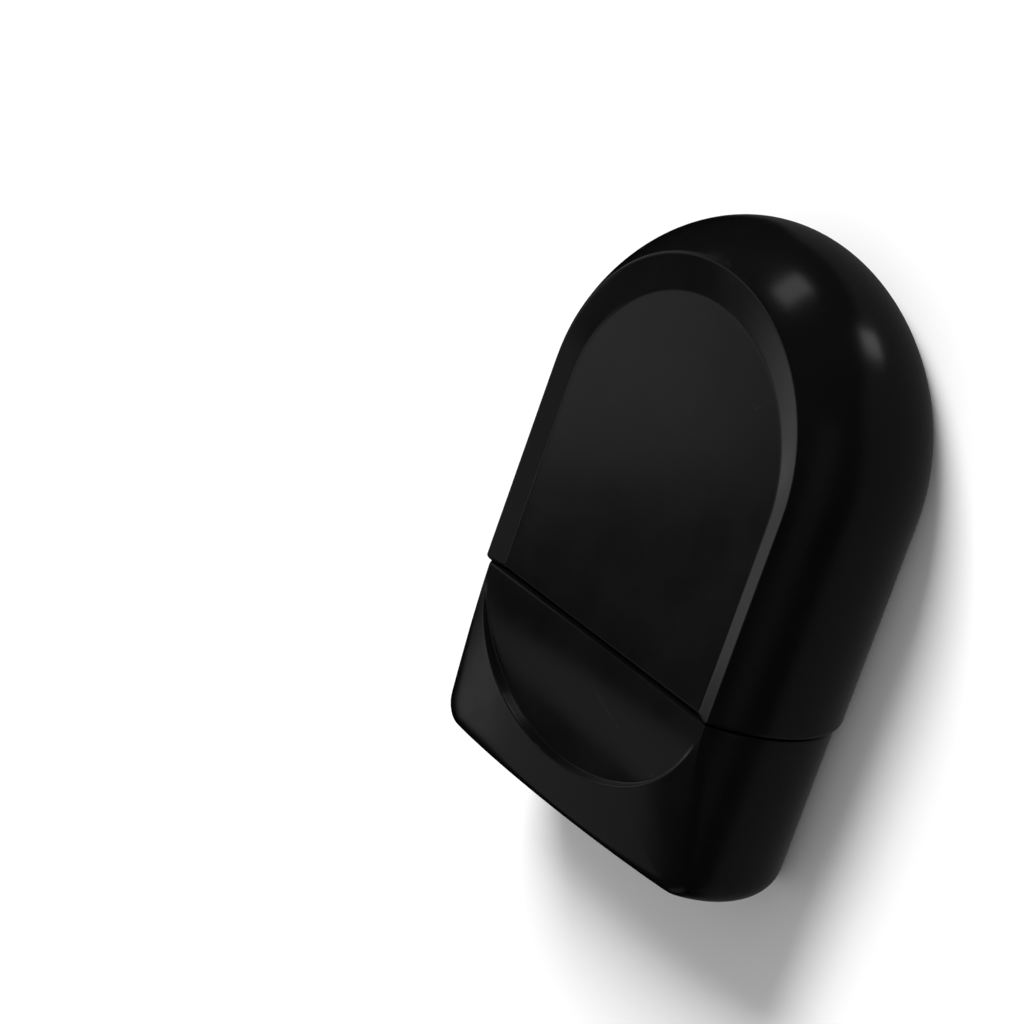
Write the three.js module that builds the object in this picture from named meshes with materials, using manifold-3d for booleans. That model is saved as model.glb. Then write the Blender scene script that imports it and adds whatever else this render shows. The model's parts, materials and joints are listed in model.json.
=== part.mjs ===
// A capped USB flash drive, lying on its flat back.
// Millimetres, +Z up. +X runs from the grip through the plug to the round end of the cap.
// The drive is mirror-symmetric about the XZ plane.
import * as THREE from 'three';
import { mergeVertices } from 'three/addons/utils/BufferGeometryUtils.js';
import Module from 'manifold-3d';

const wasm = await Module();
wasm.setup();

// ---- driving dimensions -------------------------------------------------

// The standard plug of the USB type A connector.
const plug = {
  width: 12.0,
  height: 4.5,
  wall: 0.3,
  cornerRadius: 0.5,
  reach: 11.75,          // how far it stands out of the grip
  rootDepth: 4.2,        // how far it goes back into the grip
  windowLength: 2.3,     // along X
  windowWidth: 2.6,      // along Y
  windowSpacing: 5.92,   // between the two window centres
  windowSetback: 5.67,   // from the tip to the window centres
  windowRadius: 0.35,
  foldGap: 0.12,         // the butt joint where the sheet's edges meet underneath
};

// The outside of the closed drive. Its sides bulge outwards halfway up.
const frontHalfWidth = 6.9;
const sideBulge = 1.35;
const halfThickness = 3.6;
const seamGap = 0.3;

const cap = {
  archCentre: 8.7,       // where the straight sides end and the round end begins
  endBulge: 1.25,        // how much more the round end bulges than the sides
  panelBand: 0.8,        // sloped band between the raised rim and the sunk panel
  panelTopBand: 1.5,     // the same band at the round end
  panelDepth: 0.3,
  socketClearance: 0.2,
  socketStraight: 12.0,  // the straight part of the socket, past the plug's tip
  socketEnd: 2.2,        // the rounded far end of the socket
};

const grip = {
  inset: 0.15,           // how much smaller than the cap it is all round
  frontLength: 6.9,      // at the front face; the end's bulge adds to it halfway up
  endBulge: 0.3,         // the end bulges this much of what the sides do
  cornerRadius: 0.7,     // at the front face
  cornerGrowth: 0.25,    // how much of the bulge adds to that radius
  archLength: 5.1,       // the thumb scoop's rim, from the seam to its far end
  hipReachBack: 5.0,     // how far the shoulders outside that rim run back for each mm they fall
  hipReachSide: 2.5,     // and how far sideways
  scoopDepth: 0.33,
  scoopFrom: 0.6,        // the scoop's floor sinks between these distances from the seam
  scoopTo: 4.0,
  scoopBank: 0.15,       // how far its bank leans in over the full depth
  cavityHalfWidth: 6.45,
  cavityHalfHeight: 2.62,
  cavityLength: 4.6,
  cavityRadius: 1.2,
};

const collar = { setback: 0.45, length: 2.8, fit: 0.05 };

// The circuit board, upside down in a plastic tray that fills the lower half of the plug.
const fit = 0.05;        // between pieces that rest against each other
const tongueDepth = 1.95;
const board = { width: 10.2, thickness: 0.4, front: 10.9, back: -4.4 };
const tray = { width: 11.2, floor: 0.45, front: 11.4, back: -3.9, lip: 0.4 };
const block = { width: 9.8, front: 10.6, back: -4.1 };

// The four contacts: the outer two carry power and are longer.
const contact = { width: 1.0, thickness: 0.08, tipSetback: 1.1, longLength: 7.4, shortLength: 6.4 };
const contactOffsets = { power: 3.5, data: 1.0 };

// Small components soldered to the back end of the board: centre x, centre y, length, width, height.
const components = [
  { name: 'crystal', x: -2.6, y: -2.6, length: 2.5, width: 2.0, height: 0.7, look: 'can' },
  { name: 'ferrite_bead', x: -3.7, y: 3.9, length: 1.0, width: 0.55, height: 0.5, look: 'ferrite' },
  { name: 'capacitor_1', x: -2.2, y: 3.9, length: 1.0, width: 0.55, height: 0.5, look: 'ceramic' },
  { name: 'capacitor_2', x: -2.2, y: 2.6, length: 1.0, width: 0.55, height: 0.5, look: 'ceramic' },
  { name: 'capacitor_3', x: -2.2, y: 1.3, length: 1.0, width: 0.55, height: 0.5, look: 'ceramic' },
  { name: 'capacitor_4', x: -0.4, y: -3.4, length: 1.0, width: 0.55, height: 0.5, look: 'ceramic' },
  { name: 'resistor_1', x: -3.7, y: 2.6, length: 1.0, width: 0.55, height: 0.35, look: 'resistor' },
  { name: 'resistor_2', x: -3.7, y: 1.3, length: 1.0, width: 0.55, height: 0.35, look: 'resistor' },
  { name: 'resistor_3', x: -0.4, y: -2.0, length: 1.0, width: 0.55, height: 0.35, look: 'resistor' },
];

const looks = {
  gloss: { color: 0x0b0b0c, roughness: 0.18, metalness: 0.0 },
  collar: { color: 0x141416, roughness: 0.5, metalness: 0.0 },
  steel: { color: 0xc9cacb, roughness: 0.32, metalness: 1.0 },
  tray: { color: 0x26262a, roughness: 0.6, metalness: 0.0 },
  board: { color: 0x2a2812, roughness: 0.45, metalness: 0.0 },
  epoxy: { color: 0x101012, roughness: 0.55, metalness: 0.0 },
  gold: { color: 0xd0a640, roughness: 0.25, metalness: 1.0 },
  can: { color: 0xb8babd, roughness: 0.3, metalness: 1.0 },
  ceramic: { color: 0x9a7b58, roughness: 0.6, metalness: 0.0 },
  resistor: { color: 0x15161a, roughness: 0.5, metalness: 0.0 },
  ferrite: { color: 0x3a3b3f, roughness: 0.55, metalness: 0.0 },
};

// ---- solids --------------------------------------------------------------

const toSolid = (geometry) => {
  const bare = geometry.clone();
  bare.deleteAttribute('normal');
  bare.deleteAttribute('uv');
  const merged = mergeVertices(bare, 1e-4);
  const mesh = new wasm.Mesh({
    numProp: 3,
    vertProperties: new Float32Array(merged.attributes.position.array),
    triVerts: new Uint32Array(merged.index.array),
  });
  return new wasm.Manifold(mesh);
};

const toGeometry = (solid) => {
  const mesh = solid.getMesh();
  const geometry = new THREE.BufferGeometry();
  geometry.setAttribute('position', new THREE.BufferAttribute(mesh.vertProperties, 3));
  geometry.setIndex(new THREE.BufferAttribute(mesh.triVerts, 1));
  geometry.computeVertexNormals();
  return geometry;
};

// A closed solid through a stack of outlines, each a list of Vector2 at its own height.
// Every outline has the same number of points, counter-clockwise seen from above.
const loft = (layers) => {
  const count = layers[0].outline.length;
  const points = layers.flatMap(({ outline, z }) => outline.map((p) => [p.x, p.y, z]).flat());
  const index = [];
  for (let layer = 0; layer < layers.length - 1; layer += 1) {
    for (let i = 0; i < count; i += 1) {
      const next = (i + 1) % count;
      const a = layer * count + i;
      const b = layer * count + next;
      index.push(a, b, b + count, a, b + count, a + count);
    }
  }
  const top = (layers.length - 1) * count;
  for (const [a, b, c] of THREE.ShapeUtils.triangulateShape(layers[0].outline, [])) {
    index.push(a, c, b);
  }
  for (const [a, b, c] of THREE.ShapeUtils.triangulateShape(layers.at(-1).outline, [])) {
    index.push(top + a, top + b, top + c);
  }
  const geometry = new THREE.BufferGeometry();
  geometry.setAttribute('position', new THREE.Float32BufferAttribute(points, 3));
  geometry.setIndex(index);
  return toSolid(geometry);
};

// A box given by its lowest and highest corners.
const boxBetween = (low, high) => {
  const size = high.map((value, axis) => value - low[axis]);
  const geometry = new THREE.BoxGeometry(...size);
  geometry.translate(...high.map((value, axis) => (value + low[axis]) / 2));
  return geometry;
};

// A block along X whose section has rounded corners.
const roundedBar = (halfWidth, halfHeight, radius, fromX, toX) => {
  const shape = new THREE.Shape();
  const inner = { y: halfWidth - radius, z: halfHeight - radius };
  shape.absarc(inner.y, inner.z, radius, 0, Math.PI / 2);
  shape.absarc(-inner.y, inner.z, radius, Math.PI / 2, Math.PI);
  shape.absarc(-inner.y, -inner.z, radius, Math.PI, 1.5 * Math.PI);
  shape.absarc(inner.y, -inner.z, radius, 1.5 * Math.PI, 2 * Math.PI);
  const geometry = new THREE.ExtrudeGeometry(shape, {
    depth: toX - fromX,
    bevelEnabled: false,
    curveSegments: 6,
  });
  // The section is drawn in XY and extruded along Z: turn it to lie in YZ, along +X.
  geometry.rotateX(Math.PI / 2);
  geometry.rotateZ(Math.PI / 2);
  geometry.translate(fromX, 0, 0);
  return toSolid(geometry);
};

// ---- outlines ------------------------------------------------------------

// Straight sides from startX to centreX, then half an ellipse of the given length along X.
const archOutline = (startX, centreX, halfWidth, length, segments = 40) => {
  const outline = [new THREE.Vector2(startX, halfWidth), new THREE.Vector2(startX, -halfWidth)];
  for (let i = 0; i <= segments; i += 1) {
    const angle = -Math.PI / 2 + (Math.PI * i) / segments;
    outline.push(new THREE.Vector2(centreX + length * Math.cos(angle), halfWidth * Math.sin(angle)));
  }
  return outline;
};

// The same outline pointing towards -X.
const mirrored = (outline) => outline.map((p) => new THREE.Vector2(-p.x, p.y)).reverse();

// The grip seen from above: straight sides from startX back to two rounded corners.
const gripOutline = (halfWidth, length, radius, segments = 10, startX = 0) => {
  const outline = [new THREE.Vector2(startX, -halfWidth), new THREE.Vector2(startX, halfWidth)];
  for (const side of [1, -1]) {
    const startAngle = side > 0 ? Math.PI / 2 : Math.PI;
    for (let i = 0; i <= segments; i += 1) {
      const angle = startAngle + ((Math.PI / 2) * i) / segments;
      outline.push(new THREE.Vector2(
        radius - length + radius * Math.cos(angle),
        side * (halfWidth - radius) + radius * Math.sin(angle),
      ));
    }
  }
  return outline;
};

// How far the side stands out at a height: an arc that is widest halfway up.
const bulgeAt = (z, halfHeight) => {
  const radius = (halfHeight ** 2 + sideBulge ** 2) / (2 * sideBulge);
  return Math.sqrt(radius ** 2 - z ** 2) - (radius - sideBulge);
};

// Layers from the back face to the front face, with an outline for each amount of bulge.
const barrelLayers = (halfHeight, outlineFor, steps = 14) => {
  const layers = [];
  for (let i = 0; i <= steps; i += 1) {
    const z = -halfHeight + (2 * halfHeight * i) / steps;
    layers.push({ outline: outlineFor(bulgeAt(z, halfHeight)), z });
  }
  return layers;
};

// ---- the cap -------------------------------------------------------------

const makeCapShell = () => {
  const outer = loft(barrelLayers(halfThickness, (bulge) => archOutline(
    seamGap, cap.archCentre, frontHalfWidth + bulge, frontHalfWidth + cap.endBulge * bulge,
  )));

  // The sunk panel: the band slopes from the rim down to the panel.
  const panelHalfWidth = frontHalfWidth - cap.panelBand;
  const panelArchLength = panelHalfWidth;
  const panelArchCentre = cap.archCentre + frontHalfWidth - cap.panelTopBand - panelArchLength;
  const panelZ = halfThickness - cap.panelDepth;
  // The cutter carries the band's slope a little way above the rim.
  const overshoot = 0.2;
  const band = 1 + overshoot;
  const panelCutter = loft([
    { outline: archOutline(-1, panelArchCentre, panelHalfWidth, panelArchLength), z: panelZ },
    {
      outline: archOutline(
        -1,
        panelArchCentre + band * (cap.archCentre - panelArchCentre),
        panelHalfWidth + band * cap.panelBand,
        panelArchLength + band * (frontHalfWidth - panelArchLength),
      ),
      z: panelZ + band * cap.panelDepth,
    },
  ]);

  const socketHalfWidth = plug.width / 2 + cap.socketClearance;
  const socketHalfHeight = plug.height / 2 + cap.socketClearance;
  const socket = loft([-socketHalfHeight, socketHalfHeight].map((z) => ({
    outline: archOutline(-1, cap.socketStraight, socketHalfWidth, cap.socketEnd, 16),
    z,
  })));
  return toGeometry(outer.subtract(panelCutter).subtract(socket));
};

// ---- the grip and its collar ---------------------------------------------

const gripHalfWidth = frontHalfWidth - grip.inset;
const gripHalfThickness = halfThickness - grip.inset;

// The space over the thumb surface, which sinks from the seam along a smooth S curve.
const aboveThumbSurface = (overshoot, steps = 16) => {
  const shape = new THREE.Shape();
  shape.moveTo(overshoot, gripHalfThickness + overshoot);
  shape.lineTo(overshoot, gripHalfThickness);
  for (let i = 0; i <= steps; i += 1) {
    const share = i / steps;
    const distance = grip.scoopFrom + (grip.scoopTo - grip.scoopFrom) * share;
    const sink = grip.scoopDepth * share * share * (3 - 2 * share);
    shape.lineTo(-distance, gripHalfThickness - sink);
  }
  const end = -grip.archLength - overshoot;
  shape.lineTo(end, gripHalfThickness - grip.scoopDepth);
  shape.lineTo(end, gripHalfThickness + overshoot);
  const width = 2 * (gripHalfWidth + overshoot);
  const geometry = new THREE.ExtrudeGeometry(shape, { depth: width, bevelEnabled: false });
  // The profile is drawn in XY and extruded along Z: turn it upright in XZ, across Y.
  geometry.rotateX(Math.PI / 2);
  geometry.translate(0, width / 2, 0);
  return geometry;
};

const makeGripShell = () => {
  const outer = loft(barrelLayers(gripHalfThickness, (bulge) => gripOutline(
    gripHalfWidth + bulge,
    grip.frontLength + grip.endBulge * bulge,
    grip.cornerRadius + grip.cornerGrowth * bulge,
  )));

  // The shoulders slope down and outwards from the scoop's rim.
  const beyondSeam = 2;
  const belowBack = 2 * halfThickness + 1;
  const hips = loft([belowBack, 0].map((fall) => ({
    outline: mirrored(archOutline(
      -beyondSeam,
      0,
      gripHalfWidth + fall * grip.hipReachSide,
      grip.archLength + fall * grip.hipReachBack,
    )),
    z: gripHalfThickness - fall,
  })));

  // The thumb scoop: a floor that sinks away from the seam, inside a steep bank along the rim.
  const overshoot = 1;
  const bank = loft([
    { shrink: grip.scoopBank, z: gripHalfThickness - grip.scoopDepth },
    { shrink: 0, z: gripHalfThickness },
    { shrink: 0, z: gripHalfThickness + overshoot },
  ].map(({ shrink, z }) => ({
    outline: mirrored(archOutline(-beyondSeam, 0, gripHalfWidth - shrink, grip.archLength - shrink)),
    z,
  })));
  const scoop = bank.intersect(toSolid(aboveThumbSurface(overshoot)));

  const cavity = loft([-grip.cavityHalfHeight, grip.cavityHalfHeight].map((z) => ({
    outline: gripOutline(grip.cavityHalfWidth, grip.cavityLength, grip.cavityRadius, 6, 1),
    z,
  })));
  return toGeometry(outer.intersect(hips).subtract(scoop).subtract(cavity));
};

// The frame that holds the plug in the grip.
const makePlugCollar = () => {
  const front = -collar.setback;
  const outer = toSolid(boxBetween(
    [front - collar.length, -grip.cavityHalfWidth + collar.fit, -grip.cavityHalfHeight + collar.fit],
    [front, grip.cavityHalfWidth - collar.fit, grip.cavityHalfHeight - collar.fit],
  ));
  const hole = roundedBar(
    plug.width / 2 + collar.fit,
    plug.height / 2 + collar.fit,
    plug.cornerRadius + collar.fit,
    front - collar.length - 1,
    front + 1,
  );
  return toGeometry(outer.subtract(hole));
};

// ---- the plug ------------------------------------------------------------

const makePlugShell = () => {
  const from = -plug.rootDepth;
  const to = plug.reach;
  const halfWidth = plug.width / 2;
  const halfHeight = plug.height / 2;
  let shell = roundedBar(halfWidth, halfHeight, plug.cornerRadius, from, to);
  shell = shell.subtract(roundedBar(
    halfWidth - plug.wall,
    halfHeight - plug.wall,
    plug.cornerRadius - plug.wall,
    from - 1,
    to + 1,
  ));

  // Two windows in the front wall and two in the back wall, cut right through.
  const windowX = plug.reach - plug.windowSetback;
  for (const side of [1, -1]) {
    const shape = new THREE.Shape();
    const halfLength = plug.windowLength / 2 - plug.windowRadius;
    const halfSpan = plug.windowWidth / 2 - plug.windowRadius;
    const quarter = Math.PI / 2;
    shape.absarc(halfLength, halfSpan, plug.windowRadius, 0, quarter);
    shape.absarc(-halfLength, halfSpan, plug.windowRadius, quarter, 2 * quarter);
    shape.absarc(-halfLength, -halfSpan, plug.windowRadius, 2 * quarter, 3 * quarter);
    shape.absarc(halfLength, -halfSpan, plug.windowRadius, 3 * quarter, 4 * quarter);
    const cutter = new THREE.ExtrudeGeometry(shape, {
      depth: plug.height + 2,
      bevelEnabled: false,
      curveSegments: 5,
    });
    cutter.translate(windowX, (side * plug.windowSpacing) / 2, -halfHeight - 1);
    shell = shell.subtract(toSolid(cutter));
  }

  // The fold's butt joint, along the middle of the back wall.
  const fold = boxBetween(
    [from - 1, -plug.foldGap / 2, -halfHeight - 1],
    [to + 1, plug.foldGap / 2, -halfHeight + 2 * plug.wall],
  );
  return toGeometry(shell.subtract(toSolid(fold)));
};

// ---- what the plug holds ---------------------------------------------------

// Heights, from the plug's back wall up to the contacts' top.
const innerFloor = -plug.height / 2 + plug.wall;
const contactTop = plug.height / 2 - plug.wall - tongueDepth;
const boardTop = contactTop - contact.thickness - fit / 5;
const boardBottom = boardTop - board.thickness;
const trayBottom = innerFloor + fit;
const blockBottom = trayBottom + tray.floor + fit;
const blockTop = boardBottom - fit;

// A shallow tray with side rails and a front lip, open at the back.
const makeCarrierTray = () => {
  const half = tray.width / 2;
  const pocketHalf = board.width / 2 + fit;
  const outer = boxBetween([tray.back, -half, trayBottom], [tray.front, half, boardTop]);
  const pocket = boxBetween(
    [tray.back - 1, -pocketHalf, trayBottom + tray.floor],
    [tray.front - tray.lip, pocketHalf, boardTop + 1],
  );
  return toGeometry(toSolid(outer).subtract(toSolid(pocket)));
};

const makeCircuitBoard = () => boxBetween(
  [board.back, -board.width / 2, boardBottom],
  [board.front, board.width / 2, boardTop],
);

const makeMemoryBlock = () => boxBetween(
  [block.back, -block.width / 2, blockBottom],
  [block.front, block.width / 2, blockTop],
);

const makeContact = (offset, length) => {
  const tip = plug.reach - contact.tipSetback;
  const low = contactTop - contact.thickness;
  return boxBetween(
    [tip - length, offset - contact.width / 2, low],
    [tip, offset + contact.width / 2, contactTop],
  );
};

const makeComponent = ({ x, y, length, width, height }) => {
  const low = boardTop + fit / 5;
  return boxBetween(
    [x - length / 2, y - width / 2, low],
    [x + length / 2, y + width / 2, low + height],
  );
};

// ---- the assembly ----------------------------------------------------------

const named = (name, geometry, look) => {
  const mesh = new THREE.Mesh(geometry, new THREE.MeshStandardMaterial(looks[look]));
  mesh.name = name;
  return mesh;
};

const drive = new THREE.Group();
drive.add(named('grip_shell', makeGripShell(), 'gloss'));
drive.add(named('plug_collar', makePlugCollar(), 'collar'));
drive.add(named('plug_shell', makePlugShell(), 'steel'));
drive.add(named('carrier_tray', makeCarrierTray(), 'tray'));
drive.add(named('circuit_board', makeCircuitBoard(), 'board'));
drive.add(named('memory_block', makeMemoryBlock(), 'epoxy'));

const contacts = [
  ['contact_power', -contactOffsets.power, contact.longLength],
  ['contact_data_minus', -contactOffsets.data, contact.shortLength],
  ['contact_data_plus', contactOffsets.data, contact.shortLength],
  ['contact_ground', contactOffsets.power, contact.longLength],
];
for (const [name, offset, length] of contacts) {
  drive.add(named(name, makeContact(offset, length), 'gold'));
}
for (const component of components) {
  drive.add(named(component.name, makeComponent(component), component.look));
}

const closedCap = new THREE.Group();
closedCap.add(named('cap_shell', makeCapShell(), 'gloss'));

// The origin is under the middle of the closed drive, on the surface it lies on.
const gripEnd = -grip.frontLength - grip.endBulge * sideBulge;
const capEnd = cap.archCentre + frontHalfWidth + cap.endBulge * sideBulge;
const part = new THREE.Group();
part.add(drive, closedCap);
part.position.set(-(gripEnd + capEnd) / 2, 0, halfThickness);

export default part;
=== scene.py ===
"""The looks of a capped USB flash drive around its CAD frame. Metres, +Z up, +X towards the cap."""
import json
import math

import bmesh
import bpy
from mathutils import Matrix, Vector

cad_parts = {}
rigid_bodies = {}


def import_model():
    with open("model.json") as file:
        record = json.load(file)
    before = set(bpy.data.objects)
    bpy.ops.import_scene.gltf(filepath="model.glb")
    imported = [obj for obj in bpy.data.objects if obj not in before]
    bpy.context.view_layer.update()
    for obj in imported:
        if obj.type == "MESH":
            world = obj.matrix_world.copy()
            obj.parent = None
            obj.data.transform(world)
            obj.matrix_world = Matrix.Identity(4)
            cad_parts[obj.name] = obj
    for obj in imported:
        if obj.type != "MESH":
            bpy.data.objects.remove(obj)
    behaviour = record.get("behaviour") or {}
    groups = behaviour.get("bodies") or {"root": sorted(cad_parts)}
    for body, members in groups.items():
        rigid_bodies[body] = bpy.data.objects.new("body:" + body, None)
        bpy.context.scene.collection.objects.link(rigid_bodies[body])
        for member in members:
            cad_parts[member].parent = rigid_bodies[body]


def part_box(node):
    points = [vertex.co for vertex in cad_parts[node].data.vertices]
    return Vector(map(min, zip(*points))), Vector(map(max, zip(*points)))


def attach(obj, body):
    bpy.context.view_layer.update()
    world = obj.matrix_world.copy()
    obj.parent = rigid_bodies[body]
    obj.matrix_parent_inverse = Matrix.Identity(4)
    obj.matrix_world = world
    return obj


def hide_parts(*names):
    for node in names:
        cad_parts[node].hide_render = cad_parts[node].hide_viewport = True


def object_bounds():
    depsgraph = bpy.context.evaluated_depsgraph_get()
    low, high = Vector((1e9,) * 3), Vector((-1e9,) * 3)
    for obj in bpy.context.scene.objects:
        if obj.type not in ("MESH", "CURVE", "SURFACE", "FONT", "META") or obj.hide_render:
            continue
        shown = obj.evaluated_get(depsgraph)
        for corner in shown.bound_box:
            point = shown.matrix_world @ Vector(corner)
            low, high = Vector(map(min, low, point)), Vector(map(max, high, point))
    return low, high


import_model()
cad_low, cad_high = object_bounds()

MM = 0.001
SAME_PLACE = 0.0005 * MM      # mesh points this close are one point

# ---- the frame's own measures ---------------------------------------------

cap_low, cap_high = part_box("cap_shell")
grip_low, grip_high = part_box("grip_shell")
plug_low, plug_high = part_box("plug_shell")
collar_low, collar_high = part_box("plug_collar")

seam = grip_high.x
middle = (cap_low.z + cap_high.z) / 2
half_thickness = (cap_high.z - cap_low.z) / 2
grip_half_thickness = half_thickness - (grip_low.z - cap_low.z)
cap_half_width = cap_high.y
grip_half_width = grip_high.y
grip_length = seam - grip_low.x

# ---- the shape inside those measures ----------------------------------------

# the cap and the grip
SEAM_GAP = 0.15 * MM          # the groove between the grip and the cap's edge
LAND_GAP = 0.03 * MM          # inside that edge, the cap's mouth stands this close to the grip
SIDE_BULGE = 1.35 * MM
END_BULGE = 1.25              # the cap's round end bulges this much more than its sides
PANEL_BAND = 0.8 * MM
PANEL_TOP_BAND = 1.5 * MM
PANEL_DEPTH = 0.3 * MM
GRIP_END_BULGE = 0.3          # the grip's end bulges this much of what its sides do
GRIP_CORNER = 0.7 * MM
GRIP_CORNER_GROWTH = 0.25     # how much of the bulge adds to that radius
SCOOP_LENGTH = 5.1 * MM
SCOOP_DEPTH = 0.33 * MM
SCOOP_FROM = 0.6 * MM         # the scoop's floor sinks between these distances from the seam
SCOOP_TO = 4.0 * MM
SCOOP_BANK = 0.15 * MM
HIP_REACH_BACK = 5.0          # how far the shoulders run back for each unit they fall
HIP_REACH_SIDE = 2.5          # and how far sideways
SOCKET_CLEARANCE = 0.2 * MM
SOCKET_SPARE = 1.0 * MM       # the socket is this much deeper than the plug reaches
CAVITY_HALF_WIDTH = 6.45 * MM
CAVITY_HALF_HEIGHT = 2.62 * MM
CAVITY_CORNER = 0.3 * MM
CAVITY_DEPTH = 4.6 * MM

# the plug and what it holds
PLUG_WALL = 0.3 * MM
PLUG_CORNER = 0.5 * MM
WINDOW_SIZE = (2.3 * MM, 2.6 * MM)
WINDOW_SPACING = 5.92 * MM
WINDOW_SETBACK = 5.67 * MM
WINDOW_RADIUS = 0.35 * MM
FOLD_GAP = 0.12 * MM          # the butt joint under the plug
SLIT_END = 1.0 * MM           # the slit in the plug's side ends this far out from the seam
SLIT_HALF_LENGTH = 1.2 * MM
SLIT_HALF_WIDTH = 0.11 * MM
SLIT_CORNER = 0.1 * MM
SLIT_DROP = 1.1 * MM          # its middle lies this far below the plug's top
COLLAR_CLEARANCE = 0.06 * MM
TRAY_CLEARANCE = 0.05 * MM
TRAY_LIP = 0.4 * MM
NOTCH_HALF_SIZE = (0.3 * MM, 0.45 * MM)
NOTCH_INSET = 0.75 * MM       # from the tray's side to the notch's middle
NOTCH_HEIGHT = 0.35 * MM
CHIP_END_SHARE = 0.24         # how much of a chip's length each tinned end takes
BEYOND = 1.0 * MM             # how far a cutter runs past what it cuts

mouth = seam + SEAM_GAP
rim_half_width = cap_half_width - SIDE_BULGE
grip_front_width = grip_half_width - SIDE_BULGE
grip_front_length = grip_length - GRIP_END_BULGE * SIDE_BULGE
arch_centre = cap_high.x - rim_half_width - END_BULGE * SIDE_BULGE


# ---- materials ---------------------------------------------------------------

def new_material(name):
    """A material with an empty node tree, its output and its Principled shader."""
    material = bpy.data.materials.new(name)
    material.use_nodes = True
    tree = material.node_tree
    tree.nodes.clear()
    output = tree.nodes.new("ShaderNodeOutputMaterial")
    shader = tree.nodes.new("ShaderNodeBsdfPrincipled")
    tree.links.new(shader.outputs["BSDF"], output.inputs["Surface"])
    return material, tree, shader


def node(tree, kind, inputs=None, **settings):
    """Adds a node with its settings and its fixed or linked inputs."""
    made = tree.nodes.new(kind)
    for key, value in settings.items():
        setattr(made, key, value)
    for key, value in (inputs or {}).items():
        if isinstance(value, bpy.types.NodeSocket):
            tree.links.new(value, made.inputs[key])
        else:
            made.inputs[key].default_value = value
    return made


def noise(tree, scale, detail=2.0, roughness=0.5, stretch=(1.0, 1.0, 1.0)):
    """A noise field in the part's own space: scale is features per metre."""
    place = node(tree, "ShaderNodeTexCoord").outputs["Object"]
    stretched = node(tree, "ShaderNodeMapping", {"Vector": place, "Scale": stretch}).outputs["Vector"]
    return node(
        tree, "ShaderNodeTexNoise",
        {"Vector": stretched, "Scale": scale, "Detail": detail, "Roughness": roughness},
    ).outputs["Fac"]


def spread(tree, value, low, high, start=0.0, end=1.0):
    """Maps a field from start..end to low..high."""
    return node(
        tree, "ShaderNodeMapRange",
        {"Value": value, "From Min": start, "From Max": end, "To Min": low, "To Max": high},
    ).outputs["Result"]


def blend_colour(tree, factor, first, second):
    """Mixes two colours, each a colour or a socket, by a factor."""
    mix = node(tree, "ShaderNodeMix", data_type="RGBA")
    tree.links.new(factor, mix.inputs["Factor"])
    for key, value in (("A", first), ("B", second)):
        socket = [s for s in mix.inputs if s.name == key and s.type == "RGBA"][0]
        if isinstance(value, bpy.types.NodeSocket):
            tree.links.new(value, socket)
        else:
            socket.default_value = (*value, 1.0)
    return [s for s in mix.outputs if s.type == "RGBA"][0]


def combine(tree, operation, first, second):
    """One maths step on two fields or numbers."""
    made = node(tree, "ShaderNodeMath", operation=operation)
    for index, value in enumerate((first, second)):
        if isinstance(value, bpy.types.NodeSocket):
            tree.links.new(value, made.inputs[index])
        else:
            made.inputs[index].default_value = value
    return made.outputs["Value"]


def edge_mask(tree):
    """1 along outer edges, where handling wears the surface."""
    pointed = node(tree, "ShaderNodeNewGeometry").outputs["Pointiness"]
    return spread(tree, pointed, 0.0, 1.0, 0.6, 0.75)


def bump(tree, height, strength, distance, under=None):
    """A bump from a height field, on top of another bump if there is one."""
    inputs = {"Height": height, "Strength": strength, "Distance": distance}
    if under is not None:
        inputs["Normal"] = under
    return node(tree, "ShaderNodeBump", inputs).outputs["Normal"]


def plastic(name, colour, worn_colour, roughness, ripple=0.06, grain=0.05):
    """Moulded plastic: a faint ripple from the mould, fine grain, finger marks and rubbed edges."""
    material, tree, shader = new_material(name)
    marks = noise(tree, 260.0, 4.0, 0.6)
    ripples = noise(tree, 620.0, 2.0, 0.5)
    fine = noise(tree, 9000.0, 3.0, 0.6)
    scuffs = noise(tree, 1500.0, 3.0, 0.7, stretch=(1.0, 5.0, 1.0))
    wear = combine(tree, "MULTIPLY", edge_mask(tree), spread(tree, scuffs, 0.15, 1.0, 0.35, 0.7))
    patches = blend_colour(tree, marks, colour, tuple(c * 1.5 for c in colour))
    tree.links.new(blend_colour(tree, wear, patches, worn_colour), shader.inputs["Base Color"])
    smudged = spread(tree, marks, roughness * 0.85, roughness * 1.3, 0.3, 0.7)
    worn = combine(tree, "ADD", smudged, combine(tree, "MULTIPLY", wear, 0.12))
    tree.links.new(worn, shader.inputs["Roughness"])
    waves = bump(tree, ripples, ripple, 0.02 * MM)
    tree.links.new(bump(tree, fine, grain, 0.002 * MM, waves), shader.inputs["Normal"])
    shader.inputs["IOR"].default_value = 1.5
    return material


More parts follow.
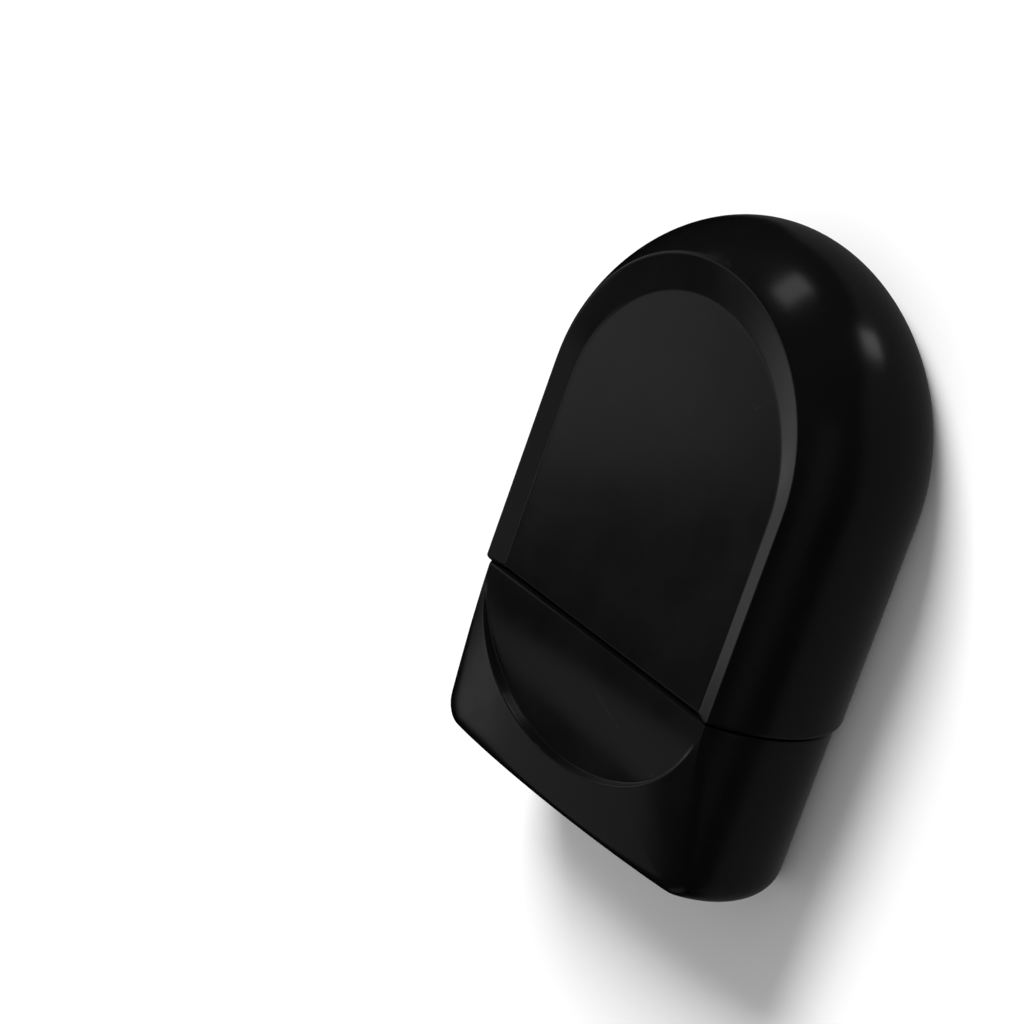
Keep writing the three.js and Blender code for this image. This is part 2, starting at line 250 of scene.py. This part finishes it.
def metal(name, colour, dark_colour, roughness, lay=(1.0, 1.0, 1.0), scratch=0.12):
    """Plated sheet metal: rolling marks along its lay, faint stains and brighter edges."""
    material, tree, shader = new_material(name)
    stains = noise(tree, 420.0, 4.0, 0.6)
    rolling = noise(tree, 5200.0, 3.0, 0.6, stretch=lay)
    grain = noise(tree, 14000.0, 2.0, 0.5)
    base = blend_colour(tree, spread(tree, stains, 0.0, 1.0, 0.35, 0.7), colour, dark_colour)
    bright = tuple(min(1.0, c * 1.12) for c in colour)
    tree.links.new(blend_colour(tree, edge_mask(tree), base, bright), shader.inputs["Base Color"])
    shader.inputs["Metallic"].default_value = 1.0
    rolled = spread(tree, rolling, roughness * 0.8, roughness * 1.25, 0.3, 0.7)
    tree.links.new(rolled, shader.inputs["Roughness"])
    lines = bump(tree, rolling, scratch, 0.004 * MM)
    tree.links.new(bump(tree, grain, scratch * 0.6, 0.002 * MM, lines), shader.inputs["Normal"])
    return material


def laminate(name, colour, weave_colour, roughness):
    """Solder mask over glass cloth: a fine square weave shows faintly through it."""
    material, tree, shader = new_material(name)
    place = node(tree, "ShaderNodeTexCoord").outputs["Object"]
    threads = [
        node(
            tree, "ShaderNodeTexWave", {"Vector": place, "Scale": 900.0, "Distortion": 0.6, "Detail": 1.0},
            wave_type="BANDS", bands_direction=direction,
        ).outputs["Fac"]
        for direction in ("X", "Y")
    ]
    weave = combine(tree, "MULTIPLY", *threads)
    cloudy = noise(tree, 700.0, 3.0, 0.6)
    base = blend_colour(tree, cloudy, colour, tuple(c * 1.6 for c in colour))
    tree.links.new(blend_colour(tree, weave, base, weave_colour), shader.inputs["Base Color"])
    tree.links.new(spread(tree, cloudy, roughness * 0.8, roughness * 1.2), shader.inputs["Roughness"])
    tree.links.new(bump(tree, weave, 0.15, 0.004 * MM), shader.inputs["Normal"])
    return material


BLACK_GLOSS = plastic("black_gloss", (0.0022, 0.0022, 0.0024), (0.008, 0.008, 0.0085), 0.2)
COLLAR_BLACK = plastic("collar_black", (0.006, 0.006, 0.007), (0.02, 0.02, 0.022), 0.5, 0.05, 0.2)
TRAY_CHARCOAL = plastic("tray_charcoal", (0.02, 0.02, 0.024), (0.05, 0.05, 0.056), 0.45, 0.05, 0.2)
EPOXY_BLACK = plastic("epoxy_black", (0.008, 0.008, 0.009), (0.02, 0.02, 0.02), 0.55, 0.05, 0.4)
CERAMIC_TAN = plastic("ceramic_tan", (0.36, 0.24, 0.14), (0.5, 0.36, 0.24), 0.5, 0.05, 0.3)
RESISTOR_BLACK = plastic("resistor_black", (0.012, 0.012, 0.016), (0.04, 0.04, 0.04), 0.35, 0.03, 0.2)
FERRITE_GREY = plastic("ferrite_grey", (0.06, 0.06, 0.066), (0.12, 0.12, 0.12), 0.5, 0.05, 0.4)
PLUG_STEEL = metal(
    "plug_steel", (0.76, 0.76, 0.77), (0.7, 0.7, 0.71), 0.32, lay=(0.12, 1.0, 1.0), scratch=0.025,
)
CONTACT_GOLD = metal("contact_gold", (0.83, 0.61, 0.22), (0.7, 0.48, 0.15), 0.24, lay=(0.1, 1.0, 1.0))
CAN_NICKEL = metal("can_nickel", (0.68, 0.68, 0.7), (0.55, 0.55, 0.57), 0.28)
TIN = metal("solder_tin", (0.72, 0.72, 0.73), (0.58, 0.58, 0.6), 0.35)
BOARD_OLIVE = laminate("board_olive", (0.05, 0.045, 0.008), (0.09, 0.08, 0.02), 0.35)


# ---- mesh helpers --------------------------------------------------------------

def new_piece(name, mesh_builder, *materials):
    """Links a new object from a finished bmesh, smooth shaded, with its materials."""
    mesh = bpy.data.meshes.new(name)
    bmesh.ops.recalc_face_normals(mesh_builder, faces=mesh_builder.faces[:])
    for face in mesh_builder.faces:
        face.smooth = True
    mesh_builder.to_mesh(mesh)
    mesh_builder.free()
    piece = bpy.data.objects.new(name, mesh)
    for material in materials:
        mesh.materials.append(material)
    bpy.context.scene.collection.objects.link(piece)
    return piece


def subdivide(piece, levels):
    """A subdivision surface over the control mesh."""
    modifier = piece.modifiers.new("smooth", "SUBSURF")
    modifier.levels = levels
    modifier.render_levels = levels


def bulge_at(z, half_height):
    """How far the side stands out at height z from the middle: an arc, widest halfway up."""
    radius = (half_height ** 2 + SIDE_BULGE ** 2) / (2 * SIDE_BULGE)
    return math.sqrt(max(radius ** 2 - z ** 2, 0.0)) - (radius - SIDE_BULGE)


def rounded_box_distance(y, z, half_width, half_height, radius):
    """Signed distance from a point to a rounded rectangle's outline."""
    dy = abs(y) - half_width + radius
    dz = abs(z) - half_height + radius
    outside = math.hypot(max(dy, 0.0), max(dz, 0.0))
    return outside + min(max(dy, dz), 0.0) - radius


def on_rounded_box(y, z, half_width, half_height, radius):
    """Where the ray from the middle through (y, z) meets a rounded rectangle."""
    length = math.hypot(y, z)
    near, far = 0.0, 2.0 * half_width
    for _ in range(40):
        trial = (near + far) / 2
        inside = rounded_box_distance(
            y / length * trial, z / length * trial, half_width, half_height, radius,
        ) < 0
        near, far = (trial, far) if inside else (near, trial)
    return y / length * near, z / length * near


def shell_from_rings(rings, hole, stations, end_scale=1.0):
    """A hollow moulding.

    The rings go from the middle of the back over the outside to the middle of the front, and each
    starts and ends on the open face. hole is the half width, half height and corner radius of the
    pocket. stations are the X places of its loops, from the open face to its bottom, and end_scale
    is the size of the last one beside the others.
    """
    builder = bmesh.new()
    grid = [[builder.verts.new(p) for p in ring] for ring in rings]
    for lower, upper in zip(grid, grid[1:]):
        for i in range(len(lower) - 1):
            builder.faces.new((lower[i], lower[i + 1], upper[i + 1], upper[i]))

    start_side = [ring[0] for ring in grid]
    end_side = [ring[-1] for ring in grid[-1::-1]]
    outer = start_side + end_side
    pocket = [on_rounded_box(v.co.y, v.co.z - middle, *hole) for v in outer]

    def loop_at(points):
        return [builder.verts.new(p) for p in points]

    loops = [outer]
    for share in (0.12, 0.5, 0.88):
        loops.append(loop_at(
            (stations[0], v.co.y + (y - v.co.y) * share, v.co.z + (z + middle - v.co.z) * share)
            for v, (y, z) in zip(outer, pocket)
        ))
    for x in stations:
        scale = end_scale if x == stations[-1] else 1.0
        loops.append(loop_at((x, y * scale, z * scale + middle) for y, z in pocket))
    floor = builder.verts.new((stations[-1], 0, middle))
    for first, second in zip(loops, loops[1:]):
        for i in range(len(first)):
            j = (i + 1) % len(first)
            builder.faces.new((first[i], first[j], second[j], second[i]))
    last = loops[-1]
    for i in range(len(last)):
        builder.faces.new((last[i], last[(i + 1) % len(last)], floor))
    bmesh.ops.remove_doubles(builder, verts=builder.verts[:], dist=SAME_PLACE)
    bmesh.ops.dissolve_degenerate(builder, edges=builder.edges[:], dist=SAME_PLACE)
    return builder


# ---- the cap --------------------------------------------------------------------

SIDE_STEPS = (0.0, 0.014, 0.05, 0.15, 0.3, 0.46, 0.62, 0.78, 0.9)
ARCH_STEPS = 40


def cap_ring(half_width, centre, length, z):
    """One arch-shaped loop of the cap: along one side, round the end and back along the other."""
    side = [(mouth + (centre - mouth) * s, -half_width) for s in SIDE_STEPS]
    arch = []
    for i in range(ARCH_STEPS + 1):
        angle = math.pi * (i / ARCH_STEPS - 0.5)
        arch.append((centre + length * math.cos(angle), half_width * math.sin(angle)))
    back = [(x, -y) for x, y in reversed(side)]
    return [Vector((x, y, middle + z)) for x, y in side + arch + back]


def make_cap():
    """The glossy cap: flat back, bulging sides, a crisp arched rim and a sunk flat panel."""
    top = half_thickness
    panel_width = rim_half_width - PANEL_BAND
    panel_centre = arch_centre + rim_half_width - PANEL_TOP_BAND - panel_width
    rings = []
    # the flat back
    for share in (0.0, 0.35, 0.7, 0.92, 0.98, 1.0):
        width = rim_half_width * share
        rings.append(cap_ring(width, arch_centre, width, -top))
    # the side, from the back to the front
    for share in (0.985, 0.88, 0.72, 0.5, 0.25, 0.0, -0.25, -0.5, -0.72, -0.88, -0.985):
        bulge = bulge_at(top * share, top)
        rings.append(cap_ring(
            rim_half_width + bulge, arch_centre, rim_half_width + END_BULGE * bulge, -top * share,
        ))
    # the band that slopes from the rim to the panel
    for share in (0.0, 0.1, 0.5, 0.88, 1.0):
        width = rim_half_width - PANEL_BAND * share
        centre = arch_centre + (panel_centre - arch_centre) * share
        rings.append(cap_ring(width, centre, width, top - PANEL_DEPTH * share))
    # the flat panel
    for share in (0.98, 0.85, 0.5, 0.25, 0.0):
        width = panel_width * share
        rings.append(cap_ring(width, panel_centre, width, top - PANEL_DEPTH))

    socket_end = plug_high.x + SOCKET_SPARE
    hole = (
        plug_high.y + SOCKET_CLEARANCE,
        (plug_high.z - plug_low.z) / 2 + SOCKET_CLEARANCE,
        PLUG_CORNER + SOCKET_CLEARANCE,
    )
    land = seam + LAND_GAP
    stations = (land, land + 0.1 * MM, mouth + 1 * MM, socket_end - 0.3 * MM, socket_end)
    cap = new_piece("cap_moulding", shell_from_rings(rings, hole, stations, 0.95), BLACK_GLOSS)
    subdivide(cap, 2)
    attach(cap, "cap")
    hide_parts("cap_shell")


# ---- the grip --------------------------------------------------------------------

GRIP_SIDE_STEPS = (0.0, 0.022, 0.08, 0.2, 0.4, 0.6, 0.8, 0.93)
GRIP_CORNER_STEPS = 6
GRIP_END_STEPS = 12


def grip_outline(half_width, length, radius):
    """(distance from the seam, Y) points: back along one side, round two corners and forward again."""
    side = [((length - radius) * s, -half_width) for s in GRIP_SIDE_STEPS]
    corner = []
    for i in range(GRIP_CORNER_STEPS + 1):
        angle = math.pi / 2 * i / GRIP_CORNER_STEPS
        corner.append((
            length - radius + radius * math.sin(angle), -(half_width - radius) - radius * math.cos(angle),
        ))
    inner = half_width - radius
    end = [(length, -inner + 2 * inner * i / GRIP_END_STEPS) for i in range(1, GRIP_END_STEPS)]
    mirrored = [(run, -y) for run, y in reversed(side + corner)]
    return side + corner + end + mirrored


def grown_outline(z):
    """The grip's outline at height z from the middle, with the bulge of its sides."""
    bulge = bulge_at(z, grip_half_thickness)
    return grip_outline(
        grip_front_width + bulge,
        grip_front_length + GRIP_END_BULGE * bulge,
        GRIP_CORNER + GRIP_CORNER_GROWTH * bulge,
    )


def hip_height(run, y):
    """Height of the sloped shoulders outside the scoop's rim."""
    low, high = 0.0, 2 * half_thickness
    if (run / SCOOP_LENGTH) ** 2 + (y / grip_front_width) ** 2 <= 1:
        return grip_half_thickness
    for _ in range(40):
        fall = (low + high) / 2
        reach_back = run / (SCOOP_LENGTH + fall * HIP_REACH_BACK)
        reach_side = y / (grip_front_width + fall * HIP_REACH_SIDE)
        beyond = reach_back ** 2 + reach_side ** 2 > 1
        low, high = (fall, high) if beyond else (low, fall)
    return grip_half_thickness - low


def sunk(run):
    """How far the thumb surface lies below its rim at a distance from the seam: a smooth S curve."""
    share = min(max((run - SCOOP_FROM) / (SCOOP_TO - SCOOP_FROM), 0.0), 1.0)
    return SCOOP_DEPTH * share * share * (3 - 2 * share)


def ridge_points(count):
    """Where the bulging sides meet the shoulders."""
    points = []
    for i in range(count):
        z = grip_half_thickness
        for _ in range(12):
            run, y = grown_outline(z)[i]
            z = hip_height(run, y)
        points.append((run, y, z))
    return points


def make_grip():
    """The glossy grip: flat back, bulging sides, and a shallow thumb scoop inside an arched rim."""
    front = grip_outline(grip_front_width, grip_front_length, GRIP_CORNER)
    count = len(front)
    ridge = ridge_points(count)
    turns = [math.atan2(y * SCOOP_LENGTH, run * grip_front_width) for run, y in front]
    crest = [(SCOOP_LENGTH * math.cos(t), grip_front_width * math.sin(t)) for t in turns]
    bottom = -grip_half_thickness

    rings = []
    # the flat back
    for share in (0.0, 0.4, 0.8, 0.94, 1.0):
        rings.append([(run * (1 - 0.06 * (1 - share)), y * share, bottom) for run, y in front])
    # the side, up to the ridge
    for share in (0.012, 0.06, 0.14, 0.25, 0.37, 0.5, 0.62, 0.73, 0.83, 0.92, 1.0):
        ring = []
        for i, (_, _, top) in enumerate(ridge):
            z = bottom + (top - bottom) * share
            run, y = grown_outline(z)[i]
            ring.append((run, y, z))
        rings.append(ring)
    # the shoulders, from the ridge to the scoop's rim
    for share in (0.28, 0.6, 0.94, 1.0):
        ring = []
        for (run, y, _), (crest_run, crest_y) in zip(ridge, crest):
            at_run = run + (crest_run - run) * share
            at_y = y + (crest_y - y) * share
            ring.append((at_run, at_y, hip_height(at_run, at_y)))
        rings.append(ring)
    # the bank inside the rim
    for share in (0.12, 0.5, 0.9):
        length = SCOOP_LENGTH - SCOOP_BANK * share
        width = grip_front_width - SCOOP_BANK * share
        ring = [(length * math.cos(t), width * math.sin(t)) for t in turns]
        rings.append([(run, y, grip_half_thickness - sunk(run) * share) for run, y in ring])
    # the thumb surface
    for share in (1.0, 0.985, 0.94, 0.86, 0.76, 0.66, 0.56, 0.46, 0.36, 0.26, 0.16, 0.07, 0.0):
        length = (SCOOP_LENGTH - SCOOP_BANK) * (0.25 + 0.75 * share)
        width = (grip_front_width - SCOOP_BANK) * share
        ring = [(length * math.cos(t), width * math.sin(t)) for t in turns]
        rings.append([(run, y, grip_half_thickness - sunk(run)) for run, y in ring])
    rings = [[Vector((seam - run, y, middle + z)) for run, y, z in ring] for ring in rings]

    hole = (CAVITY_HALF_WIDTH, CAVITY_HALF_HEIGHT, CAVITY_CORNER)
    floor = seam - CAVITY_DEPTH
    stations = (seam, seam - 0.08 * MM, seam - 0.6 * MM, floor + 0.4 * MM, floor)
    grip = new_piece("grip_moulding", shell_from_rings(rings, hole, stations, 0.93), BLACK_GLOSS)
    subdivide(grip, 2)
    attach(grip, "drive")
    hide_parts("grip_shell")


# ---- blocks, plates and the plug -----------------------------------------------------

def corner_loop(half_a, half_b, radius, steps=6):
    """The outline of a rounded rectangle, centred on the origin, counter-clockwise."""
    points = []
    corners = ((1, 1, 0), (-1, 1, 1), (-1, -1, 2), (1, -1, 3))
    for side_a, side_b, quarter in corners:
        for i in range(steps + 1):
            angle = math.pi / 2 * (quarter + i / steps)
            points.append((
                side_a * (half_a - radius) + radius * math.cos(angle),
                side_b * (half_b - radius) + radius * math.sin(angle),
            ))
    return points


def prism(outline, place, low, high):
    """A closed prism: place turns an outline point and a level into a position."""
    builder = bmesh.new()
    ends = [[builder.verts.new(place(a, b, level)) for a, b in outline] for level in (low, high)]
    count = len(outline)
    for i in range(count):
        j = (i + 1) % count
        builder.faces.new((ends[0][i], ends[0][j], ends[1][j], ends[1][i]))
    builder.faces.new(ends[0])
    builder.faces.new(ends[1])
    return builder


def flat_prism(outline, centre, low, high):
    """A prism that stands along Z."""
    return prism(outline, lambda a, b, z: (centre[0] + a, centre[1] + b, z), low, high)


def cut(piece, cutters):
    """Cuts the cutters out of a piece, and removes them."""
    for cutter in cutters:
        modifier = piece.modifiers.new("cut", "BOOLEAN")
        modifier.operation = "DIFFERENCE"
        modifier.solver = "EXACT"
        modifier.object = cutter
    settle(piece)
    for cutter in cutters:
        bpy.data.objects.remove(cutter)


def settle(piece):
    """Turns a piece's modifiers into its mesh."""
    evaluated = piece.evaluated_get(bpy.context.evaluated_depsgraph_get())
    mesh = bpy.data.meshes.new_from_object(evaluated)
    mesh.name = piece.name
    piece.modifiers.clear()
    piece.data = mesh


def round_edges(piece, width, segments=2):
    """Rounds every sharp edge."""
    modifier = piece.modifiers.new("round", "BEVEL")
    modifier.width = width
    modifier.segments = segments
    modifier.limit_method = "ANGLE"
    modifier.angle_limit = math.radians(35)
    modifier.harden_normals = True
    modifier.use_clamp_overlap = True


def make_plug():
    """The folded steel shell, with its windows, its butt joint underneath and a slit in each side."""
    half_width = plug_high.y
    half_height = (plug_high.z - plug_low.z) / 2
    plug_middle = (plug_high.z + plug_low.z) / 2

    def along(a, b, x):
        return (x, a, plug_middle + b)

    outer = corner_loop(half_width, half_height, PLUG_CORNER)
    inner = corner_loop(half_width - PLUG_WALL, half_height - PLUG_WALL, PLUG_CORNER - PLUG_WALL)
    builder = bmesh.new()
    loops = [
        [builder.verts.new(along(a, b, x)) for a, b in outline]
        for outline, x in (
            (outer, plug_low.x), (outer, plug_high.x), (inner, plug_high.x), (inner, plug_low.x),
        )
    ]
    count = len(outer)
    for first, second in zip(loops, loops[1:] + loops[:1]):
        for i in range(count):
            j = (i + 1) % count
            builder.faces.new((first[i], first[j], second[j], second[i]))
    shell = new_piece("plug_sheet", builder, PLUG_STEEL)

    window = corner_loop(WINDOW_SIZE[0] / 2, WINDOW_SIZE[1] / 2, WINDOW_RADIUS)
    window_x = plug_high.x - WINDOW_SETBACK
    cutters = [
        new_piece("cutter", flat_prism(
            window, (window_x, side * WINDOW_SPACING / 2), plug_low.z - BEYOND, plug_high.z + BEYOND,
        ))
        for side in (1, -1)
    ]
    reach = (plug_high.x - plug_low.x) / 2 + BEYOND
    fold = corner_loop(reach, FOLD_GAP / 2, 0.01 * MM, 1)
    cutters.append(new_piece("cutter", flat_prism(
        fold, ((plug_high.x + plug_low.x) / 2, 0), plug_low.z - BEYOND, plug_low.z + 2 * PLUG_WALL,
    )))
    slit_x = seam + SLIT_END - SLIT_HALF_LENGTH
    slit_z = plug_high.z - SLIT_DROP
    slit = corner_loop(SLIT_HALF_LENGTH, SLIT_HALF_WIDTH, SLIT_CORNER)
    cutters.append(new_piece("cutter", prism(
        slit, lambda a, b, y: (slit_x + a, y, slit_z + b), -half_width - BEYOND, half_width + BEYOND,
    )))
    cut(shell, cutters)
    round_edges(shell, 0.05 * MM, 3)
    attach(shell, "drive")
    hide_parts("plug_shell")


def block_mesh(low, high, corner, steps=4):
    """An upright block between two corners, with its four upright edges rounded."""
    outline = corner_loop((high.x - low.x) / 2, (high.y - low.y) / 2, corner, steps)
    centre = ((high.x + low.x) / 2, (high.y + low.y) / 2)
    return flat_prism(outline, centre, low.z, high.z)


def make_block(name, low, high, edge, material, corner):
    """A moulded or cut block with all its edges rounded."""
    block = new_piece(name, block_mesh(low, high, corner), material)
    round_edges(block, edge)
    return block


def stand_for(piece, node_name):
    """A piece that replaces one CAD node of the drive."""
    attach(piece, "drive")
    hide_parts(node_name)


def make_collar():
    """The dark frame round the plug's root."""
    collar = new_piece("collar_frame", block_mesh(collar_low, collar_high, 0.08 * MM), COLLAR_BLACK)
    hole = corner_loop(
        plug_high.y + COLLAR_CLEARANCE, (plug_high.z - plug_low.z) / 2 + COLLAR_CLEARANCE, PLUG_CORNER,
    )
    cutter = new_piece("cutter", prism(
        hole, lambda a, b, x: (x, a, middle + b), collar_low.x - BEYOND, collar_high.x + BEYOND,
    ))
    cut(collar, [cutter])
    round_edges(collar, 0.06 * MM)
    stand_for(collar, "plug_collar")


def make_tray():
    """The charcoal tray under the board, with rails at its sides and a notched lip at its mouth."""
    low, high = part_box("carrier_tray")
    _, board_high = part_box("circuit_board")
    block_low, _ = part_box("memory_block")
    tray = new_piece("tray_moulding", block_mesh(low, high, 0.08 * MM), TRAY_CHARCOAL)
    pocket_low = Vector((low.x - BEYOND, -board_high.y - TRAY_CLEARANCE, block_low.z - TRAY_CLEARANCE))
    pocket_high = Vector((high.x - TRAY_LIP, board_high.y + TRAY_CLEARANCE, high.z + BEYOND))
    cutters = [new_piece("cutter", block_mesh(pocket_low, pocket_high, 0.1 * MM, 3))]
    notch = corner_loop(*NOTCH_HALF_SIZE, 0.08 * MM, 3)
    for side in (1, -1):
        cutters.append(new_piece("cutter", flat_prism(
            notch, (high.x, side * (high.y - NOTCH_INSET)), low.z - BEYOND, low.z + NOTCH_HEIGHT,
        )))
    cut(tray, cutters)
    round_edges(tray, 0.05 * MM)
    stand_for(tray, "carrier_tray")


def make_chip(name, body_material):
    """A chip component: a coloured body between two tinned ends."""
    low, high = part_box(name)
    builder = block_mesh(low, high, 0.05 * MM, 2)
    end = (high.x - low.x) * CHIP_END_SHARE
    for x in (low.x + end, high.x - end):
        geometry = builder.verts[:] + builder.edges[:] + builder.faces[:]
        bmesh.ops.bisect_plane(builder, geom=geometry, plane_co=(x, 0, 0), plane_no=(1, 0, 0))
    for face in builder.faces:
        across = face.calc_center_median().x
        face.material_index = 1 if across < low.x + end or across > high.x - end else 0
    chip = new_piece(name + "_chip", builder, body_material, TIN)
    round_edges(chip, 0.03 * MM)
    stand_for(chip, name)


def make_contents():
    """Everything that the plug holds above and below the board."""
    board = make_block("board_laminate", *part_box("circuit_board"), 0.03 * MM, BOARD_OLIVE, 0.25 * MM)
    stand_for(board, "circuit_board")
    memory = make_block("memory_moulding", *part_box("memory_block"), 0.08 * MM, EPOXY_BLACK, 0.2 * MM)
    stand_for(memory, "memory_block")
    for name in ("contact_power", "contact_data_minus", "contact_data_plus", "contact_ground"):
        plate = make_block(name + "_plate", *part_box(name), 0.02 * MM, CONTACT_GOLD, 0.3 * MM)
        stand_for(plate, name)
    can = make_block("crystal_can", *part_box("crystal"), 0.1 * MM, CAN_NICKEL, 0.25 * MM)
    stand_for(can, "crystal")
    make_chip("ferrite_bead", FERRITE_GREY)
    for i in range(1, 5):
        make_chip(f"capacitor_{i}", CERAMIC_TAN)
    for i in range(1, 4):
        make_chip(f"resistor_{i}", RESISTOR_BLACK)


# ---- the stage: floor, light and camera --------------------------------------------------

FLOOR_SIZE = 3.0
FRAME_WIDTH = 39.279 * MM           # what the picture's width covers at the drive
LENS = 200.0
SENSOR = 36.0
CAMERA_RIGHT = Vector((0.3159, -0.5941, -0.7398))
CAMERA_UP = Vector((0.8947, 0.4461, 0.0238))
SEAM_OFFSET = (5.719 * MM, -4.994 * MM)    # the seam lies right of and below the picture's middle
WORLD_BRIGHTNESS = 0.45
KEY_POSITION = (1440.0, 560.0, 1200.0)
KEY_SIZE = 900.0
KEY_POWER = 52.0

# name, direction from the seam, distance, width and height in mm, brightness, sideways shift in mm
BLACK_PIECE_CARDS = (
    ("panel_card", (-0.312, 0.666, 0.677), 60.0, 60.0, 70.0, 0.37, (26.4, 30.4, -17.8)),
    ("scoop_card", (-0.312, 0.666, 0.677), 100.0, 48.0, 62.0, 0.17, (-40.5, -6.6, -11.6)),
    ("rim_card", (-0.43, 0.84, 0.33), 150.0, 45.0, 50.0, 0.35),
    ("top_card", (-0.3, 0.06, 0.95), 150.0, 45.0, 45.0, 0.25),
    ("high_card", (-0.22, 0.42, 0.88), 150.0, 42.0, 40.0, 0.5),
    ("dome_card", (0.97, 0.17, 0.15), 150.0, 30.0, 60.0, 1.2),
    ("end_card", (0.82, -0.31, -0.48), 150.0, 26.0, 40.0, 1.5),
    ("side_card", (0.1, -0.95, 0.25), 200.0, 200.0, 60.0, 0.07),
    ("far_card", (0.35, 0.9, 0.3), 200.0, 160.0, 60.0, 0.18),
    ("grip_card", (-0.95, -0.1, 0.3), 200.0, 120.0, 80.0, 0.12),
    ("under_card", (0.0, -0.2, -1.0), 80.0, 300.0, 300.0, 0.08),
)
BRIGHT_PIECE_CARDS = (
    ("room_top", (-0.1, 0.1, 1.0), 250.0, 440.0, 440.0, 1.15),
    ("room_left", (0.0, 1.0, 0.1), 250.0, 500.0, 300.0, 0.7),
    ("room_right", (0.0, -1.0, 0.1), 250.0, 500.0, 300.0, 0.85),
    ("room_front", (1.0, 0.0, 0.1), 250.0, 500.0, 300.0, 0.75),
    ("room_back", (-1.0, 0.0, 0.1), 250.0, 500.0, 300.0, 0.9),
    ("room_floor", (0.0, 0.0, -1.0), 250.0, 500.0, 500.0, 0.75),
)


def make_floor():
    """A plain pale floor that the closed drive lies on."""
    builder = bmesh.new()
    bmesh.ops.create_grid(builder, x_segments=2, y_segments=2, size=FLOOR_SIZE)
    material, tree, shader = new_material("pale_floor")
    mottled = noise(tree, 60.0, 3.0, 0.6)
    pale = blend_colour(tree, mottled, (0.9, 0.9, 0.9), (0.94, 0.94, 0.94))
    tree.links.new(pale, shader.inputs["Base Color"])
    shader.inputs["Roughness"].default_value = 0.9
    shader.inputs["Specular IOR Level"].default_value = 0.1
    floor = new_piece("floor", builder, material)
    floor.location.z = cad_low.z
    floor.visible_glossy = False


def place_light(name, position, aim, width, height, power):
    """A rectangular light at a position, facing an aim, both in mm from the seam's middle."""
    light = bpy.data.lights.new(name, "AREA")
    light.shape = "RECTANGLE"
    light.size = width * MM
    light.size_y = height * MM
    light.energy = power
    lamp = bpy.data.objects.new(name, light)
    origin = Vector((seam, 0, middle))
    facing = (Vector(position) - Vector(aim)).to_track_quat("Z", "Y").to_matrix().to_4x4()
    lamp.matrix_world = Matrix.Translation(origin + Vector(position) * MM) @ facing
    lamp.visible_camera = False
    bpy.context.scene.collection.objects.link(lamp)
    return lamp


def reflector(receivers, name, towards, distance, width, height, brightness, shift=(0.0, 0.0, 0.0)):
    """A card that shows only as a reflection on its receivers, and as bright as it is given."""
    direction = Vector(towards).normalized()
    moved = Vector(shift)
    power = brightness * math.pi * width * height * MM * MM
    card = place_light(name, direction * distance + moved, moved, width, height, power)
    card.visible_diffuse = False
    card.light_linking.receiver_collection = receivers


def make_light():
    """A white room, a soft key from beyond the round end, and cards that shape the reflections."""
    world = bpy.data.worlds.new("white_room")
    bpy.context.scene.world = world
    world.use_nodes = True
    background = world.node_tree.nodes["Background"]
    background.inputs["Color"].default_value = (1.0, 1.0, 1.0, 1.0)
    background.inputs["Strength"].default_value = WORLD_BRIGHTNESS
    world.cycles_visibility.glossy = False
    key = place_light("key_light", KEY_POSITION, (0.0, 0.0, 0.0), KEY_SIZE, KEY_SIZE, KEY_POWER)
    key.visible_glossy = False

    black_pieces = bpy.data.collections.new("black_pieces")
    bright_pieces = bpy.data.collections.new("bright_pieces")
    for piece in bpy.context.scene.objects:
        if piece.type == "MESH" and piece.name != "floor":
            group = black_pieces if piece.name in ("cap_moulding", "grip_moulding") else bright_pieces
            group.objects.link(piece)
    for card in BLACK_PIECE_CARDS:
        reflector(black_pieces, *card)
    for card in BRIGHT_PIECE_CARDS:
        reflector(bright_pieces, *card)


def make_camera():
    """A long lens above the drive's right side, turned so that the cap's round end points up."""
    data = bpy.data.cameras.new("camera")
    data.lens = LENS
    data.sensor_width = SENSOR
    camera = bpy.data.objects.new("camera", data)
    right = CAMERA_RIGHT.normalized()
    back = right.cross(CAMERA_UP).normalized()
    up = back.cross(right)
    seam_middle = Vector((seam, 0, middle))
    aim = seam_middle - right * SEAM_OFFSET[0] - up * SEAM_OFFSET[1]
    distance = FRAME_WIDTH * LENS / SENSOR
    turn = Matrix((right, up, back)).transposed().to_4x4()
    camera.matrix_world = Matrix.Translation(aim + back * distance) @ turn
    data.clip_start = 0.01
    data.clip_end = 10.0
    bpy.context.scene.collection.objects.link(camera)
    bpy.context.scene.camera = camera


make_camera()
make_cap()
make_grip()
make_plug()
make_collar()
make_tray()
make_contents()
make_floor()
make_light()
bpy.context.scene.view_settings.view_transform = "Standard"

bpy.context.view_layer.update()
